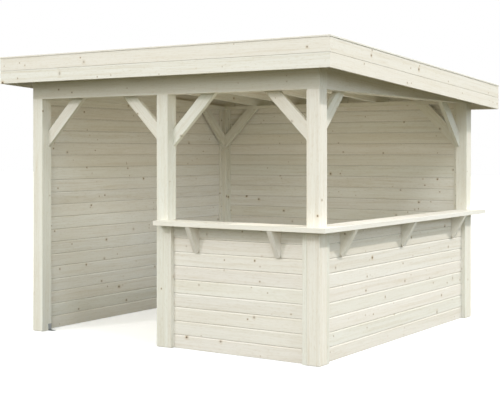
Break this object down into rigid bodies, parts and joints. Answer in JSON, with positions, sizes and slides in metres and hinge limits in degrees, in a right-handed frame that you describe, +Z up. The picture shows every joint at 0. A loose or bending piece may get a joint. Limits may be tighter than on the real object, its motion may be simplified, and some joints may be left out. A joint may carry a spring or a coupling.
{
  "type": "garden bar gazebo",
  "caption": "Square timber garden gazebo with a lean-to roof, boarded left and back walls, an open front bay and a half-height bar with a counter shelf round one corner.",
  "frame": {"origin": "on the ground under the middle of the roof, which is also the middle of the post frame", "axes": "+X to the right as seen from the front, +Y from the front to the back, +Z up"},
  "size_m": [3.42, 3.42, 2.4788],
  "materials": {
    "frame_timber": "planed pale spruce, untreated",
    "wall_boards": "planed pale spruce boards, untreated",
    "counter_timber": "planed pale spruce, untreated",
    "roof_timber": "planed pale spruce boards, untreated",
    "fascia_timber": "planed pale spruce, untreated",
    "roof_felt": "matt mineral-faced sheet",
    "galvanised_steel": "dull galvanised"
  },
  "bodies": {
    "root": {"post_front_left": "frame_timber", "post_front_middle": "frame_timber", "post_front_right": "frame_timber", "post_rear_right": "frame_timber", "post_rear_left": "frame_timber", "beam_front": "frame_timber", "beam_rear": "frame_timber", "beam_left": "frame_timber", "beam_right": "frame_timber", "brace_entry_left": "frame_timber", "brace_entry_right": "frame_timber", "brace_bar_left": "frame_timber", "brace_bar_right": "frame_timber", "brace_side_front": "frame_timber", "brace_side_rear": "frame_timber", "brace_back_right": "frame_timber", "brace_back_left": "frame_timber", "brace_left_rear": "frame_timber", "wall_left": "wall_boards", "wall_back": "wall_boards", "wall_bar_front": "wall_boards", "wall_bar_side": "wall_boards", "outer_battens": "frame_timber", "inner_battens": "frame_timber", "counter_front": "counter_timber", "counter_side": "counter_timber", "brackets_front": "counter_timber", "brackets_side": "counter_timber", "rafters": "frame_timber", "roof_boards": "roof_timber", "roof_covering": "roof_felt", "fascia_upper_front": "fascia_timber", "fascia_upper_right": "fascia_timber", "fascia_upper_rear": "fascia_timber", "fascia_upper_left": "fascia_timber", "fascia_lower_front": "fascia_timber", "fascia_lower_right": "fascia_timber", "fascia_lower_rear": "fascia_timber", "fascia_lower_left": "fascia_timber", "cap_front": "fascia_timber", "cap_right": "fascia_timber", "cap_rear": "fascia_timber", "cap_left": "fascia_timber", "ground_anchors": "galvanised_steel"}
  },
  "joints": []
}
